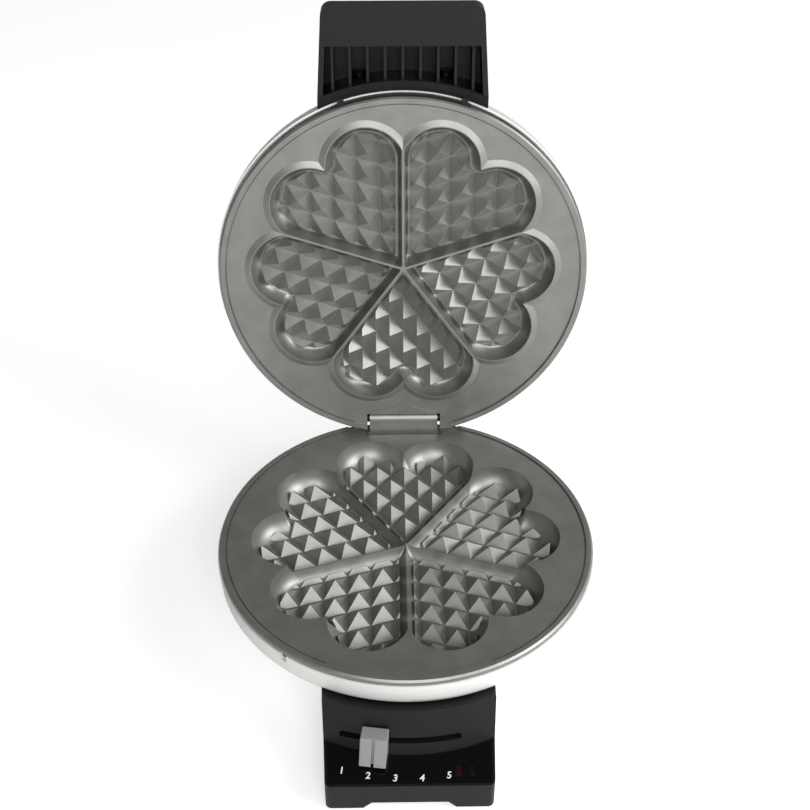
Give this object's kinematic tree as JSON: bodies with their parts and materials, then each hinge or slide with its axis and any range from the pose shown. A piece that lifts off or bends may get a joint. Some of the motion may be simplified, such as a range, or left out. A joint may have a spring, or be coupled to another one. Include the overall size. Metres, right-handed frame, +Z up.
{
  "type": "electric waffle maker",
  "caption": "Heart waffle maker with two round cast plates, a hinged lid, black grips and a temperature slider.",
  "frame": {"origin": "on the table, on the axis of the round lower plate", "axes": "+Z up along the lower plate's axis, -Y to the front with the two grips, +Y to the hinge, +X to the right seen from the front; the lid stands open at rest"},
  "size_m": [0.194, 0.2642, 0.291],
  "materials": {
    "cast_plate": "non-stick coated, satin",
    "element_steel": "dull",
    "sheet_steel": "zinc plated",
    "thermostat_body": "ceramic, matt",
    "screw_steel": "zinc plated",
    "pin_steel": "ground",
    "knob_plastic": "satin",
    "white_plastic": "gloss",
    "black_plastic": "fine satin",
    "panel_plastic": "gloss",
    "red_lens": "gloss, translucent",
    "green_lens": "gloss, translucent",
    "lamp_glass": "clear",
    "holder_plastic": "matt",
    "foot_rubber": "matt",
    "gland_rubber": "matt"
  },
  "bodies": {
    "base": {"lower_plate": "cast_plate", "lower_element": "element_steel", "lower_shield": "sheet_steel", "thermostat": "thermostat_body", "thermostat_strap": "sheet_steel", "base_casing": "white_plastic", "bottom_cover": "white_plastic", "control_housing": "black_plastic", "scale_panel": "panel_plastic", "red_lens": "red_lens", "green_lens": "green_lens", "indicator_lamps": "lamp_glass", "lamp_holder": "holder_plastic", "front_feet": "foot_rubber", "rear_feet": "foot_rubber", "cord_gland": "gland_rubber", "terminal_block": "holder_plastic", "hinge_pin": "pin_steel", "strap_screws": "screw_steel", "casing_screws": "screw_steel", "cover_screws": "screw_steel", "housing_screws": "screw_steel"},
    "lid": {"upper_plate": "cast_plate", "upper_element": "element_steel", "upper_shield": "sheet_steel", "shield_screws": "screw_steel", "lid_casing": "white_plastic", "lid_handle": "black_plastic", "handle_screws": "screw_steel", "lid_rear_screws": "screw_steel"},
    "selector": {"slider_knob": "knob_plastic", "selector_arm": "sheet_steel", "thermostat_spindle": "screw_steel"}
  },
  "joints": [
    {"name": "lid_hinge", "type": "hinge", "parent": "base", "child": "lid", "pos_m": [0, 0.0887, 0.0612], "axis": [1, 0, 0], "range_deg": [0, 98.3]},
    {"name": "temperature_slider", "type": "hinge", "parent": "base", "child": "selector", "pos_m": [0, 0, 0.0278], "axis": [0, 0, 1], "range_deg": [-7.5, 19.8]}
  ]
}
